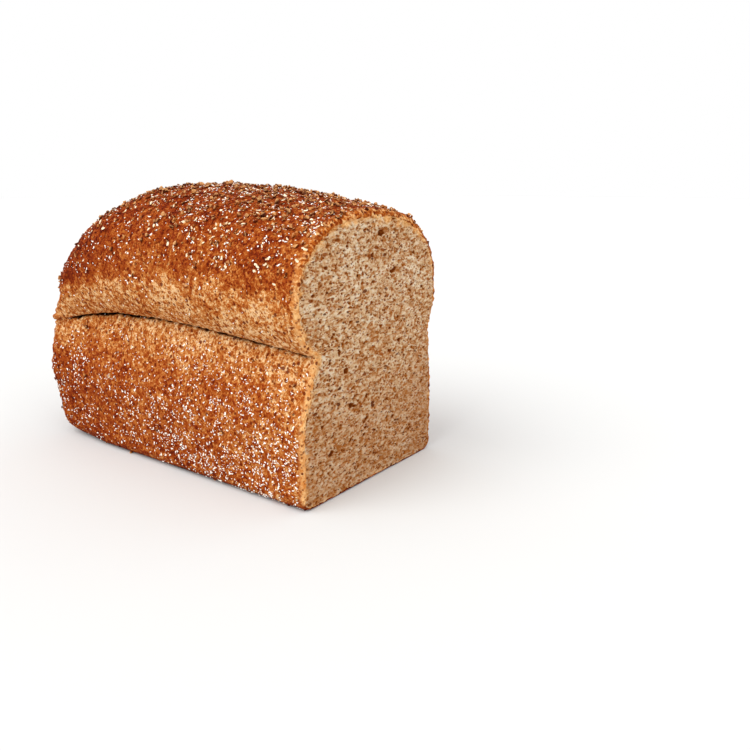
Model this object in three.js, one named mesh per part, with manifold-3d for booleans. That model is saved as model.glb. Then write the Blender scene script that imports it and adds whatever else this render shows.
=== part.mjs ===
// A wholemeal tin loaf that has been cut across, standing on its flat base.
// Millimetres, +Z up. The loaf lies along X, and its cut face looks along +X.
// While it is shaped, the cut face is at x = 0. The last step centres it over its base.

import * as THREE from 'three'
import { MeshSurfaceSampler } from 'three/addons/math/MeshSurfaceSampler.js'
import { mergeVertices } from 'three/addons/utils/BufferGeometryUtils.js'
import Module from 'manifold-3d'

// Cross-section at the cut face
const baseWidth = 106 // between the two flat walls that the tin gave
const baseCorner = 6.5 // radius of the long bottom edges
const creaseHeight = 70 // the crease where the dough rose over the tin's rim
const nearInset = 8.9 // how far the -Y wall leans in up to the crease
const farInset = 2.7 // the same on the +Y wall
const leanStart = 0.35 // share of the wall's height that stays upright
const leanPower = 1.3 // more than 1 keeps the lean small for longer
const nearCrease = 1.6 // extra depth of the crease itself on the -Y side
const farCrease = 0.2 // the same on the +Y side
const bulgePower = 1.3 // how the crown swells out over the crease, 1 makes it round
const bulgeRise = 0.85 // less than 1 makes that swell start steeper
const nearDome = 54.4 // from the middle to the crown's widest place on the -Y side
const farDome = 55.8 // the same on the +Y side
const domeWide = 92 // height where the crown is widest
const cutHeight = 131 // height of the cut face
const domePower = 2.25 // 2 makes the crown an ellipse, more makes it squarer

// Length and the far end that the tin shaped
const loafLength = 203.7 // at the level of the crease
const noseBottom = 37.6 // length over which the end rounds off, at the base
const noseCrease = 26.5 // at the crease
const noseDome = 45 // where the crown is widest
const noseTop = 90 // at the top of the crown
const endPowerLow = 4 // squareness of the end below the crease
const endPowerDome = 2.2 // where the crown is widest
const endPowerTop = 1.9 // at the top of the crown
const footInset = 4.9 // the end's foot reaches less far than its rim
const crownInset = 5 // the end of the crown steps back from the rim
const endBlend = 60 // length over which both insets fade in
const heelInset = 4 // extra inset round the very bottom of the end
const heelHeight = 16 // height over which that fades out
const calmStart = 62 // distance from the far end where the overhang starts to fade
const calmStop = 20 // distance from the far end where it is gone
const calmPower = 1.7 // how flat the crown rises there, more is flatter
const rimFlare = 1.1 // how far the tin's rim turned the crust out there
const flareBelow = 7 // height below the crease over which that fades
const flareAbove = 2.5 // height above the crease over which that fades

// How the loaf differs along its length
const crownRise = 14.1 // swell of the crown towards its middle
const crownMiddle = 99.6 // distance of that middle from the cut face
const crownReach = 122.2 // distance over which the swell falls to nothing
const creaseRise = 5.7 // swell of the crease towards the middle
const creaseDrop = 5.9 // dip of the crease round the far end
const creaseTurn = 71 // length over which it dips
const creaseBand = 48 // height to either side that follows the crease
const wallSwell = 0.8 // outward swell of the long walls
const swellFrom = 5 // height where that starts
const swellFull = 40 // height where it is full
const sideReach = 40 // how far from the middle the walls' swell and lean are full
const insetEase = 0.44 // share of the walls' inset that is gone at the far end
const easeStart = 148 // distance from the cut face where it starts to go
const easeStop = 193.7 // distance from the cut face where it has gone
const lumpHeight = 0.55 // low unevenness of the crust
const lumpLength = { x: 9, y: 10, z: 12 } // how far apart they are, a sixth of a wave each
const lumpShift = 1.3 // moves them along the loaf
const lumpShare = 0.6 // the smaller lumps' share of that
const smallLength = { x: 5.1, round: 6.3 } // the same for the smaller lumps
const smallShift = 2
const lumpFrom = 4 // height where the lumps start
const lumpFull = 16 // height where they are full
const axisInset = 50 // the axis that they swell away from ends this far from the far end
const axisHeight = 60

// Coarse bran flakes on the crust, and pores in the cut face
const flakeCount = 212
const flakeLength = { least: 3, most: 4.8 }
const flakeGap = 5.2 // least distance between two flakes
const flakeThickness = { least: 1.8, most: 2.6 }
const flakeWidth = { least: 0.55, most: 0.8 } // as a share of its length
const wallChance = 0.12 // flakes on the walls for each one on the crown
const cutMargin = 3.5 // bare crust along the cut
const edgeMargin = 8 // bare crust above the base and beside the crease
const crownMargin = 16 // flakes are thickest from this far below the cut's top
const poreCount = 26
const poreWidth = { least: 1.6, most: 3 }
const poreShape = { least: 0.7, most: 1.2 } // height as a share of the width
const poreDepth = 0.55 // as a share of the width
const poreMargin = 7 // whole crumb between the pores and the crust

// The widest pores: y, z, width, height and depth
const widePores = [
  [7.1, 120, 5.2, 3, 2.6],
  [-25.1, 118.9, 4.4, 2.2, 1],
  [-25.3, 68.8, 2.6, 3.2, 1.8],
  [-20.4, 59.3, 4, 3, 2],
  [-16.9, 41.7, 3.6, 2.4, 2.2],
  [-32.1, 22.5, 4.2, 3.4, 2.2],
]

// Fineness of the mesh
const baseSteps = 3
const cornerSteps = 3
const wallSteps = 7
const bulgeSteps = 5
const domeSteps = 11
const straightSteps = 11
const endSteps = 12

const clamp = THREE.MathUtils.clamp
const lerp = THREE.MathUtils.lerp
const smooth = (from, to, value) => THREE.MathUtils.smoothstep(value, from, to)
const quarterTurn = Math.PI / 2

// Seeded random numbers from 0 to 1
function randomFrom(seed) {
  let state = seed
  return () => {
    state = (state * 1664525 + 1013904223) % 4294967296
    return state / 4294967296
  }
}
const random = randomFrom(7)
const between = (least, most) => lerp(least, most, random())

const nearSide = { inset: nearInset, dome: nearDome, creaseDepth: nearCrease }
const farSide = { inset: farInset, dome: farDome, creaseDepth: farCrease }

// How much of the wall's inset is reached at a height, and how it goes again above the crease
function leanShare(z) {
  if (z > creaseHeight) return 1 - smooth(creaseHeight, domeWide, z)
  return smooth(leanStart, 1, z / creaseHeight) ** leanPower
}

// Half of the section, from the middle of the base up to the top of the crown
function halfSection({ inset, dome, creaseDepth }) {
  const wall = baseWidth / 2
  const creaseY = wall - inset
  const points = []
  for (let i = 0; i < baseSteps; i++) points.push([((wall - baseCorner) * i) / baseSteps, 0])
  for (let i = 0; i <= cornerSteps; i++) {
    const turn = (quarterTurn * i) / cornerSteps
    points.push([
      wall - baseCorner * (1 - Math.sin(turn)),
      baseCorner * (1 - Math.cos(turn)),
    ])
  }
  for (let i = 1; i <= wallSteps; i++) {
    const rise = i / wallSteps
    const crease = i === wallSteps ? creaseDepth : 0
    points.push([
      wall - inset * leanShare(rise * creaseHeight) - crease,
      lerp(baseCorner, creaseHeight, rise),
    ])
  }
  for (let i = 1; i <= bulgeSteps; i++) {
    const turn = (quarterTurn * i) / bulgeSteps
    points.push([
      lerp(creaseY, dome, Math.sin(turn) ** bulgePower),
      lerp(creaseHeight, domeWide, (1 - Math.cos(turn)) ** bulgeRise),
    ])
  }
  for (let i = 1; i <= domeSteps; i++) {
    const turn = (quarterTurn * i) / domeSteps
    const out = i === domeSteps ? 0 : Math.cos(turn) ** (2 / domePower)
    points.push([dome * out, lerp(domeWide, cutHeight, Math.sin(turn) ** (2 / domePower))])
  }
  return points
}

// The whole section: up the -Y side from the middle of the base, and down the +Y side
function wholeSection() {
  const near = halfSection(nearSide).map(([y, z]) => [-y, z])
  const far = halfSection(farSide).slice(1, -1).reverse()
  return [...near, ...far]
}

// How far the crown has bulged out between the crease and its widest height
function bulgeShare(z) {
  return Math.sin(quarterTurn * clamp((z - creaseHeight) / (domeWide - creaseHeight), 0, 1))
}

// Where the end starts to round off, and how square it is, for each height of the section
function endShape(z) {
  if (z < creaseHeight) {
    return { nose: lerp(noseBottom, noseCrease, z / creaseHeight), power: endPowerLow }
  }
  const bulge = bulgeShare(z)
  const crown = clamp((z - domeWide) / (cutHeight - domeWide), 0, 1)
  return {
    nose: lerp(lerp(noseCrease, noseDome, bulge), noseTop, crown),
    power: lerp(lerp(endPowerLow, endPowerDome, bulge), endPowerTop, crown),
  }
}

// Round the far end the crown stands back over the tin's rim, and the bottom edge is rounder
function endOutward(x, z, { inset, dome }) {
  const calm = smooth(loafLength - calmStart, loafLength - calmStop, -x)
  const rise = clamp((z - creaseHeight) / (domeWide - creaseHeight), 0, 1)
  const bulge = Math.sin(Math.acos(1 - rise ** (1 / bulgeRise))) ** bulgePower
  const overhang = dome - baseWidth / 2 + inset
  const fade = z < creaseHeight ? flareBelow : flareAbove
  const flare = rimFlare * Math.exp(-(((z - creaseHeight) / fade) ** 2))
  const heel = heelInset * clamp(1 - z / heelHeight, 0, 1) ** 2
  return calm * (flare - heel - overhang * (bulge - bulge ** calmPower))
}

// How much of the crown's swell is left at x
function swell(x) {
  const away = clamp((x + crownMiddle) / crownReach, -1, 1)
  return Math.cos(away * quarterTurn)
}

// Bends a point of the plain loaf to the crown's swell, the crease's wave and the leaning end
function settle([x, y, z]) {
  const crown = smooth(creaseHeight, cutHeight, z)
  const offCrease = clamp((z - creaseHeight) / creaseBand, -1, 1)
  const band = (1 - offCrease ** 2) ** 4
  const wave =
    creaseRise * Math.sin(Math.PI * clamp(-x / loafLength, 0, 1)) -
    creaseDrop * smooth(loafLength - creaseTurn, loafLength, -x)
  const end = smooth(loafLength - endBlend, loafLength, -x)
  const foot = footInset * (1 - clamp(z / creaseHeight, 0, 1))
  const step = crownInset * bulgeShare(z)
  const along = 1 - ((x + loafLength / 2) / (loafLength / 2)) ** 2
  const sideShare = Math.min(1, Math.abs(y) / sideReach)
  const bow = wallSwell * along * smooth(swellFrom, swellFull, z) * sideShare
  const side = y < 0 ? nearSide : farSide
  const eased = insetEase * smooth(easeStart, easeStop, -x)
  const ease = side.inset * leanShare(z) * eased * sideShare
  const away = new THREE.Vector2(x - clamp(x, axisInset - loafLength, 0), y)
  away.setLength(endOutward(x, z, side))
  return [
    x + end * (foot + step) + away.x,
    y + Math.sign(y) * (bow + ease) + away.y,
    z + crownRise * crown * (swell(x) - swell(0)) + band * wave,
  ]
}

// Low, broad unevenness of the crust, which fades out at the base and at the cut
function unevenness([x, y, z]) {
  const broad = Math.sin(x / lumpLength.x + lumpShift) * Math.sin(y / lumpLength.y + z / lumpLength.z)
  const round = Math.sin((z - y) / smallLength.round)
  const small = lumpShare * Math.sin(x / smallLength.x + smallShift) * round
  const height =
    lumpHeight * (broad + small) * smooth(lumpFrom, lumpFull, z) * smooth(0, cutMargin, -x)
  const axis = new THREE.Vector3(clamp(x, axisInset - loafLength, 0), 0, axisHeight)
  const outward = new THREE.Vector3(x, y, z).sub(axis).setLength(height)
  return [x + outward.x, y + outward.y, z + outward.z]
}

// Rings of points from the cut face to the last one before the pole of the far end
function bodyRings() {
  const section = wholeSection()
  const rings = []
  for (let i = 0; i < straightSteps; i++) {
    const share = i / straightSteps
    rings.push(
      section.map(([y, z]) => [-(loafLength - endShape(z).nose) * share, y, z])
    )
  }
  for (let i = 0; i < endSteps; i++) {
    const turn = (quarterTurn * i) / endSteps
    rings.push(
      section.map(([y, z]) => {
        const { nose, power } = endShape(z)
        const reach = nose * Math.sin(turn) ** (2 / power)
        const shrink = Math.cos(turn) ** (2 / power)
        const level = creaseHeight + (z - creaseHeight) * shrink
        return [nose - loafLength - reach, y * shrink, level]
      })
    )
  }
  return rings.map((ring) => ring.map((point) => unevenness(settle(point))))
}

// The body of the loaf: the rings joined, with a flat cut face and a closed far end
function bodyGeometry() {
  const rings = bodyRings()
  const around = rings[0].length
  const last = rings.length - 1
  const points = rings.flat()
  const cutCentre = points.push([0, 0, creaseHeight]) - 1
  const pole = points.push(unevenness(settle([-loafLength, 0, creaseHeight]))) - 1
  const faces = []
  for (let j = 0; j < around; j++) {
    const next = (j + 1) % around
    faces.push([cutCentre, next, j])
    faces.push([last * around + j, last * around + next, pole])
    for (let i = 0; i < last; i++) {
      const near = i * around
      const far = near + around
      faces.push([near + j, near + next, far + next])
      faces.push([near + j, far + next, far + j])
    }
  }
  const geometry = new THREE.BufferGeometry()
  geometry.setAttribute('position', new THREE.Float32BufferAttribute(points.flat(), 3))
  geometry.setIndex(faces.flat())
  geometry.computeVertexNormals()
  return geometry
}

// A flake or a pore starts as a rough lump of twenty facets, one unit in radius
function roughLump(roughness) {
  const lump = new THREE.IcosahedronGeometry(1)
  lump.deleteAttribute('normal')
  lump.deleteAttribute('uv')
  const merged = mergeVertices(lump)
  const corner = new THREE.Vector3()
  const position = merged.getAttribute('position')
  for (let i = 0; i < position.count; i++) {
    corner.fromBufferAttribute(position, i).multiplyScalar(between(1 - roughness, 1))
    position.setXYZ(i, corner.x, corner.y, corner.z)
  }
  return merged
}

// Where flakes may lie: thick on the crown, sparse on the walls, none on the base or the cut
function flakeChance(x, z) {
  if (z < edgeMargin || x > -cutMargin) return 0
  if (Math.abs(z - creaseHeight) < edgeMargin) return 0
  return lerp(wallChance, 1, smooth(creaseHeight + edgeMargin, cutHeight - crownMargin, z))
}

function withFlakeChances(body) {
  const geometry = body.clone()
  const position = geometry.getAttribute('position')
  const chances = []
  for (let i = 0; i < position.count; i++) {
    chances.push(flakeChance(position.getX(i), position.getZ(i)))
  }
  geometry.setAttribute('chance', new THREE.Float32BufferAttribute(chances, 1))
  return geometry
}

// Flakes half sunk in the crust, turned at random, the largest first
function flakeGeometries(body) {
  const sampler = new MeshSurfaceSampler(new THREE.Mesh(withFlakeChances(body)))
  sampler.setWeightAttribute('chance').setRandomGenerator(random).build()
  const placed = []
  const flakes = []
  const spot = new THREE.Vector3()
  const outward = new THREE.Vector3()
  while (flakes.length < flakeCount) {
    sampler.sample(spot, outward)
    if (placed.some((other) => other.distanceTo(spot) < flakeGap)) continue
    if (spot.x > -cutMargin) continue
    placed.push(spot.clone())
    const share = flakes.length / flakeCount
    const length = lerp(flakeLength.most, flakeLength.least, share)
    const flake = roughLump(0.2)
    const width = length * between(flakeWidth.least, flakeWidth.most)
    const thickness = between(flakeThickness.least, flakeThickness.most)
    flake.scale(length / 2, width / 2, thickness / 2)
    flake.rotateZ(between(0, 2 * Math.PI))
    const facing = new THREE.Quaternion().setFromUnitVectors(
      new THREE.Vector3(0, 0, 1),
      outward.clone().normalize()
    )
    flake.applyQuaternion(facing)
    flake.translate(spot.x, spot.y, spot.z)
    flakes.push(flake)
  }
  return flakes
}

// A dent in the cut face
function poreGeometry(y, z, width, height, depth) {
  const pore = roughLump(0.15)
  pore.scale(depth, width / 2, height / 2)
  pore.translate(0, y, z)
  return pore
}

// Half the width of the crumb at a height, clear of the crust by the pores' margin
function crumbReach(z) {
  const rise = clamp((z - domeWide) / (cutHeight - domeWide), 0, 1)
  const wall = baseWidth / 2 - nearInset * smooth(creaseHeight / 2, creaseHeight, z)
  const dome = nearDome * Math.sqrt(1 - rise ** 2)
  return (z < creaseHeight ? wall : Math.min(wall, dome)) - poreMargin
}

function poreGeometries() {
  const pores = widePores.map((pore) => poreGeometry(...pore))
  const placed = widePores.map(([y, z]) => new THREE.Vector2(y, z))
  while (pores.length < widePores.length + poreCount) {
    const z = between(poreMargin, cutHeight - poreMargin)
    const y = between(-1, 1) * crumbReach(z)
    const spot = new THREE.Vector2(y, z)
    if (placed.some((other) => other.distanceTo(spot) < 2 * poreMargin)) continue
    placed.push(spot)
    const width = between(poreWidth.least, poreWidth.most)
    const height = width * between(poreShape.least, poreShape.most)
    pores.push(poreGeometry(y, z, width, height, width * poreDepth))
  }
  return pores
}

// Closed meshes become manifold solids for the joins and cuts, and come back as a geometry
const wasm = await Module()
wasm.setup()

function toSolid(geometry) {
  const bare = geometry.clone()
  bare.deleteAttribute('normal')
  bare.deleteAttribute('uv')
  const merged = mergeVertices(bare)
  return new wasm.Manifold(
    new wasm.Mesh({
      numProp: 3,
      vertProperties: merged.getAttribute('position').array,
      triVerts: new Uint32Array(merged.index.array),
    })
  )
}

function toGeometry(solid) {
  const mesh = solid.getMesh()
  const geometry = new THREE.BufferGeometry()
  geometry.setAttribute('position', new THREE.BufferAttribute(mesh.vertProperties, 3))
  geometry.setIndex(new THREE.BufferAttribute(mesh.triVerts, 1))
  return geometry
}

// The loaf with its flakes joined on and its pores cut out
function loafGeometry() {
  const body = bodyGeometry()
  let solid = toSolid(body)
  for (const flake of flakeGeometries(body)) solid = solid.add(toSolid(flake))
  for (const pore of poreGeometries()) solid = solid.subtract(toSolid(pore))
  return toGeometry(solid)
}

// Puts the origin under the middle of the loaf, at the level of its base
function centreOverBase(geometry) {
  geometry.computeBoundingBox()
  const centre = geometry.boundingBox.getCenter(new THREE.Vector3())
  geometry.translate(-centre.x, -centre.y, -geometry.boundingBox.min.z)
  geometry.computeVertexNormals()
  return geometry
}

const crust = new THREE.MeshStandardMaterial({
  color: '#a4622f',
  roughness: 0.85,
  metalness: 0,
})

const loaf = new THREE.Mesh(centreOverBase(loafGeometry()), crust)
loaf.name = 'loaf'

const part = new THREE.Group()
part.add(loaf)

export default part
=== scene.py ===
import math

import bpy
import numpy as np
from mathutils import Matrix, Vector


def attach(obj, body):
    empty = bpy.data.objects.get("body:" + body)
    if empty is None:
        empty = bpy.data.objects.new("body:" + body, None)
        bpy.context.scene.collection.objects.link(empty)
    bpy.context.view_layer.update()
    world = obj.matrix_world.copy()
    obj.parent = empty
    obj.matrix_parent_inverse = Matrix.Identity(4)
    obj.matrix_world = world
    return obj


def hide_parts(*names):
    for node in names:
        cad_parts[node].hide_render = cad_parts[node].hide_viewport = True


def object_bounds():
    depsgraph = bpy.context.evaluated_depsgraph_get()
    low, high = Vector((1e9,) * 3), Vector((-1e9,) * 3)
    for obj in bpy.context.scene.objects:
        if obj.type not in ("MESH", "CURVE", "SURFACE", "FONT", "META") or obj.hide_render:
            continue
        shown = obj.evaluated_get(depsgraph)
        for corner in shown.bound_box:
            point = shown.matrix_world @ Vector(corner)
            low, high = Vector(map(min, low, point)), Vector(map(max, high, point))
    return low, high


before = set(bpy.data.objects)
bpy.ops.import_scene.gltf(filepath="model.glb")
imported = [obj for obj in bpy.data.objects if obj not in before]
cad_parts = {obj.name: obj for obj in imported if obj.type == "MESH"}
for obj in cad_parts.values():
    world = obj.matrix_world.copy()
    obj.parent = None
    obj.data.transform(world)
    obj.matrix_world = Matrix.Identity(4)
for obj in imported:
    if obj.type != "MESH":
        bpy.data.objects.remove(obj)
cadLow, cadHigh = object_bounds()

# A wholemeal tin loaf that has been cut across, with its crumb showing.
# The loaf is shaped in millimetres with the cut face at x = 0, and toPlace then puts it
# in metres where the CAD node stands.

mm = 0.001
quarterTurn = math.pi / 2

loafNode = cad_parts["loaf"]
nodePoints = np.empty(len(loafNode.data.vertices) * 3)
loafNode.data.vertices.foreach_get("co", nodePoints)
nodePoints = nodePoints.reshape(-1, 3)
baseSpan = nodePoints[nodePoints[:, 2] < 1e-5, 1]
cutPlace = np.array([cadHigh.x, (baseSpan.min() + baseSpan.max()) / 2, 0])  # middle of the cut's base


def toPlace(points):
    return points * mm + cutPlace


def smooth(start, stop, value):
    share = np.clip((value - start) / (stop - start), 0, 1)
    return share * share * (3 - 2 * share)


def blend(low, high, share):
    return low + (high - low) * share


# Soft lumps of noise from -1 to 1 that are about as wide as the size given
def softNoise(points, size, seed):
    lattice = np.random.default_rng(seed).random((24, 24, 24))
    spot = points / size
    cell = np.floor(spot).astype(int)
    part = spot - cell
    part = part * part * (3 - 2 * part)
    total = np.zeros(points.shape[:-1])
    for corner in np.ndindex(2, 2, 2):
        weight = np.prod(np.where(corner, part, 1 - part), axis=-1)
        x, y, z = np.moveaxis((cell + corner) % 24, -1, 0)
        total += weight * lattice[x, y, z]
    return total * 2 - 1


def unit(vectors):
    return vectors / np.maximum(np.linalg.norm(vectors, axis=-1, keepdims=True), 1e-6)


def linearColor(hexText):
    channels = [int(hexText[i:i + 2], 16) / 255 for i in (1, 3, 5)]
    return [c / 12.92 if c <= 0.04045 else ((c + 0.055) / 1.055) ** 2.4 for c in channels] + [1]


# Adds one shader node with its settings, the values or links of its inputs and its ramp.
# A node given as a link stands for its first output.
def addNode(tree, kind, inputs=None, stops=None, **settings):
    node = tree.nodes.new("ShaderNode" + kind)
    for name, value in settings.items():
        setattr(node, name, value)
    for name, value in (inputs or {}).items():
        if isinstance(value, bpy.types.Node):
            value = value.outputs[0]
        if isinstance(value, bpy.types.NodeSocket):
            tree.links.new(value, node.inputs[name])
        else:
            node.inputs[name].default_value = value
    if stops:
        elements = node.color_ramp.elements
        while len(elements) < len(stops):
            elements.new(1)
        for element, (place, color) in zip(elements, stops):
            element.position = place
            element.color = linearColor(color)
    return node


def newMaterial(name):
    material = bpy.data.materials.new(name)
    material.use_nodes = True
    material.node_tree.nodes.clear()
    return material, material.node_tree


def setMode(mode):
    bpy.ops.object.mode_set(mode=mode)


def deselectAll():
    if bpy.context.mode != "OBJECT":
        setMode("OBJECT")
    bpy.ops.object.select_all(action="DESELECT")


# Selects the vertices of the active piece that the mask marks, and opens edit mode
def editVertices(piece, mask):
    setMode("EDIT")
    bpy.ops.mesh.select_mode(type="VERT")
    bpy.ops.mesh.select_all(action="DESELECT")
    setMode("OBJECT")
    piece.data.vertices.foreach_set("select", np.asarray(mask, dtype=bool).ravel())
    setMode("EDIT")


def readPoints(piece):
    points = np.empty(len(piece.data.vertices) * 3)
    piece.data.vertices.foreach_get("co", points)
    return points.reshape(-1, 3)


def writePoints(piece, points):
    piece.data.vertices.foreach_set("co", np.ascontiguousarray(points, dtype=float).ravel())
    piece.data.update()


def readValues(piece, name):
    values = np.empty(len(piece.data.vertices))
    piece.data.attributes[name].data.foreach_get("value", values)
    return values


def writeValues(piece, name, values):
    attribute = piece.data.attributes.new(name, "FLOAT", "POINT")
    attribute.data.foreach_set("value", np.ascontiguousarray(values, dtype=float).ravel())


# A plain grid from Blender, and the row and column of each of its vertices
def addGrid(name, rows, columns):
    deselectAll()
    bpy.ops.mesh.primitive_grid_add(x_subdivisions=rows, y_subdivisions=columns, size=1)
    piece = bpy.context.object
    piece.name = name
    points = readPoints(piece)
    row = np.rint((points[:, 0] + 0.5) * rows).astype(int)
    column = np.rint((points[:, 1] + 0.5) * columns).astype(int)
    return piece, row, column


# The loaf's form, in the sizes of the CAD source

loafShape = {
    "baseWidth": 106, "baseCorner": 6.5, "cutHeight": 131, "loafLength": 203.7,
    "nearInset": 8.9, "farInset": 2.7,  # how far each wall leans in, up to the crease
    "leanStart": 0.35, "leanPower": 1.3,
    "creaseHeight": 70, "domeWide": 92,  # where the crown starts, and where it is widest
    "nearDome": 54.4, "farDome": 55.8, "domePower": 2.25,
    "bulgePower": 1.3, "bulgeEase": 0.85,
    "noseBottom": 37.6, "noseCrease": 26.5, "noseDome": 45, "noseTop": 90,  # length of the round end
    "endPowerLow": 4, "endPowerDome": 2.2, "endPowerTop": 1.9,  # how square its corners are
    "endAxis": 50, "axisHeight": 60,  # the line that it bulges from ends so far inside the end
    "footInset": 4.9, "crownInset": 5, "endBlend": 60,
    "crownRise": 14.1, "crownMiddle": 99.6, "crownReach": 122.2,
    "creaseRise": 5.7, "creaseDrop": 5.9, "creaseTurn": 71, "creaseBand": 48,
    "nearCreaseDepth": 1.6, "farCreaseDepth": 0.2,
    "creaseFrom": 0.86, "creaseTo": 0.2,  # it is pressed into the top of the wall and the foot of the bulge
    "wallSwell": 0.8, "insetEase": 0.44, "easeStart": 148, "easeStop": 193.7, "sideEase": 40,
    "lumpHeight": 0.55,
    "calmStart": 62, "calmStop": 20, "calmPower": 1.7,
    "rimFlare": 1.1, "flareBelow": 7, "flareAbove": 2.5,
    "heelInset": 4, "heelHeight": 16,
}

loafMesh = {
    "linePoints": 500,  # points that each stretch of the section is drawn from
    "step": 1.15,  # spacing of the mesh on the crust
    "baseStep": 3.4,  # on the flat base, which nobody sees
    "creaseStep": 0.28,  # beside the crease
    "creaseZone": (0.8, 5),  # how far from the crease it is fine, and where it is coarse again
    "straightRows": 128,
    "endRows": 78,
}

loafLength = loafShape["loafLength"]
creaseHeight = loafShape["creaseHeight"]
domeWide = loafShape["domeWide"]
cutHeight = loafShape["cutHeight"]
axisEnd = loafShape["endAxis"] - loafLength


def leanShare(z):
    below = smooth(loafShape["leanStart"], 1, z / creaseHeight) ** loafShape["leanPower"]
    return np.where(z > creaseHeight, 1 - smooth(creaseHeight, domeWide, z), below)


# Half of the section, as one line from the base up to the crease and one from there to the top
def halfSection(side):
    inset, dome, depth = [loafShape[side + name] for name in ("Inset", "Dome", "CreaseDepth")]
    wall = loafShape["baseWidth"] / 2
    corner = loafShape["baseCorner"]
    power = 2 / loafShape["domePower"]
    share = np.linspace(0, 1, loafMesh["linePoints"])
    turn = share * quarterTurn
    base = [(wall - corner) * share, 0 * share]
    foot = [wall - corner * (1 - np.sin(turn)), corner * (1 - np.cos(turn))]
    flank = [
        wall - inset * leanShare(share * creaseHeight) - depth * smooth(loafShape["creaseFrom"], 1, share),
        blend(corner, creaseHeight, share),
    ]
    bulgeReach = blend(wall - inset, dome, np.sin(turn) ** loafShape["bulgePower"])
    bulge = [
        bulgeReach - depth * (1 - smooth(0, loafShape["creaseTo"], share)),
        blend(creaseHeight, domeWide, (1 - np.cos(turn)) ** loafShape["bulgeEase"]),
    ]
    crown = [dome * np.cos(turn) ** power, blend(domeWide, cutHeight, np.sin(turn) ** power)]
    lower = np.concatenate([np.transpose(base), np.transpose(foot)[1:], np.transpose(flank)[1:]])
    upper = np.concatenate([np.transpose(bulge), np.transpose(crown)[1:]])
    return lower, upper


# Points along a line, close together beside the crease and far apart on the base
def spacedOut(line, creaseAtEnd):
    step = np.linalg.norm(np.diff(line, axis=0), axis=1)
    run = np.concatenate([[0], np.cumsum(step)])
    fromCrease = run[-1] - run if creaseAtEnd else run
    wanted = blend(loafMesh["creaseStep"], loafMesh["step"], smooth(*loafMesh["creaseZone"], fromCrease))
    wanted = np.where(line[:, 1] < 0.01, loafMesh["baseStep"], wanted)
    gain = np.concatenate([[0], np.cumsum(step * 2 / (wanted[1:] + wanted[:-1]))])
    at = np.linspace(0, gain[-1], int(round(gain[-1])) + 1)
    y, z, away = [np.interp(at, gain, values) for values in (line[:, 0], line[:, 1], fromCrease)]
    return np.transpose([y, z, -away if creaseAtEnd else away])


# The whole section: y, z and the way along the crust from the crease, up the -Y side first
def wholeSection():
    halves = []
    for side, sign in (("near", -1), ("far", 1)):
        lower, upper = halfSection(side)
        half = np.concatenate([spacedOut(lower, True), spacedOut(upper, False)[1:]])
        halves.append(half * (sign, 1, 1))
    return np.concatenate([halves[0], halves[1][-2::-1]])


def bulgeShare(z):
    return np.sin(quarterTurn * np.clip((z - creaseHeight) / (domeWide - creaseHeight), 0, 1))


# Share of the crown's overhang that is reached at a height
def bulgeOut(z):
    rise = np.clip((z - creaseHeight) / (domeWide - creaseHeight), 0, 1)
    turn = np.arccos(1 - rise ** (1 / loafShape["bulgeEase"]))
    return np.sin(turn) ** loafShape["bulgePower"]


# Length of the round end at a height, and how square its corners are there
def endShape(z):
    bulge = bulgeShare(z)
    crown = np.clip((z - domeWide) / (cutHeight - domeWide), 0, 1)
    low = blend(loafShape["noseBottom"], loafShape["noseCrease"], z / creaseHeight)
    high = blend(blend(loafShape["noseCrease"], loafShape["noseDome"], bulge), loafShape["noseTop"], crown)
    powerLow = loafShape["endPowerLow"]
    power = blend(blend(powerLow, loafShape["endPowerDome"], bulge), loafShape["endPowerTop"], crown)
    return np.where(z < creaseHeight, low, high), np.where(z < creaseHeight, powerLow, power)


def swell(x):
    away = np.clip((x + loafShape["crownMiddle"]) / loafShape["crownReach"], -1, 1)
    return np.cos(away * quarterTurn)


def creaseWave(x):
    rise = loafShape["creaseRise"] * np.sin(math.pi * np.clip(-x / loafLength, 0, 1))
    return rise - loafShape["creaseDrop"] * smooth(loafLength - loafShape["creaseTurn"], loafLength, -x)


# Level direction out of the loaf, which turns round the far end
def levelOutward(x, y):
    return unit(np.stack([x - np.clip(x, axisEnd, 0), y, 0 * y], axis=-1))


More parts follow.
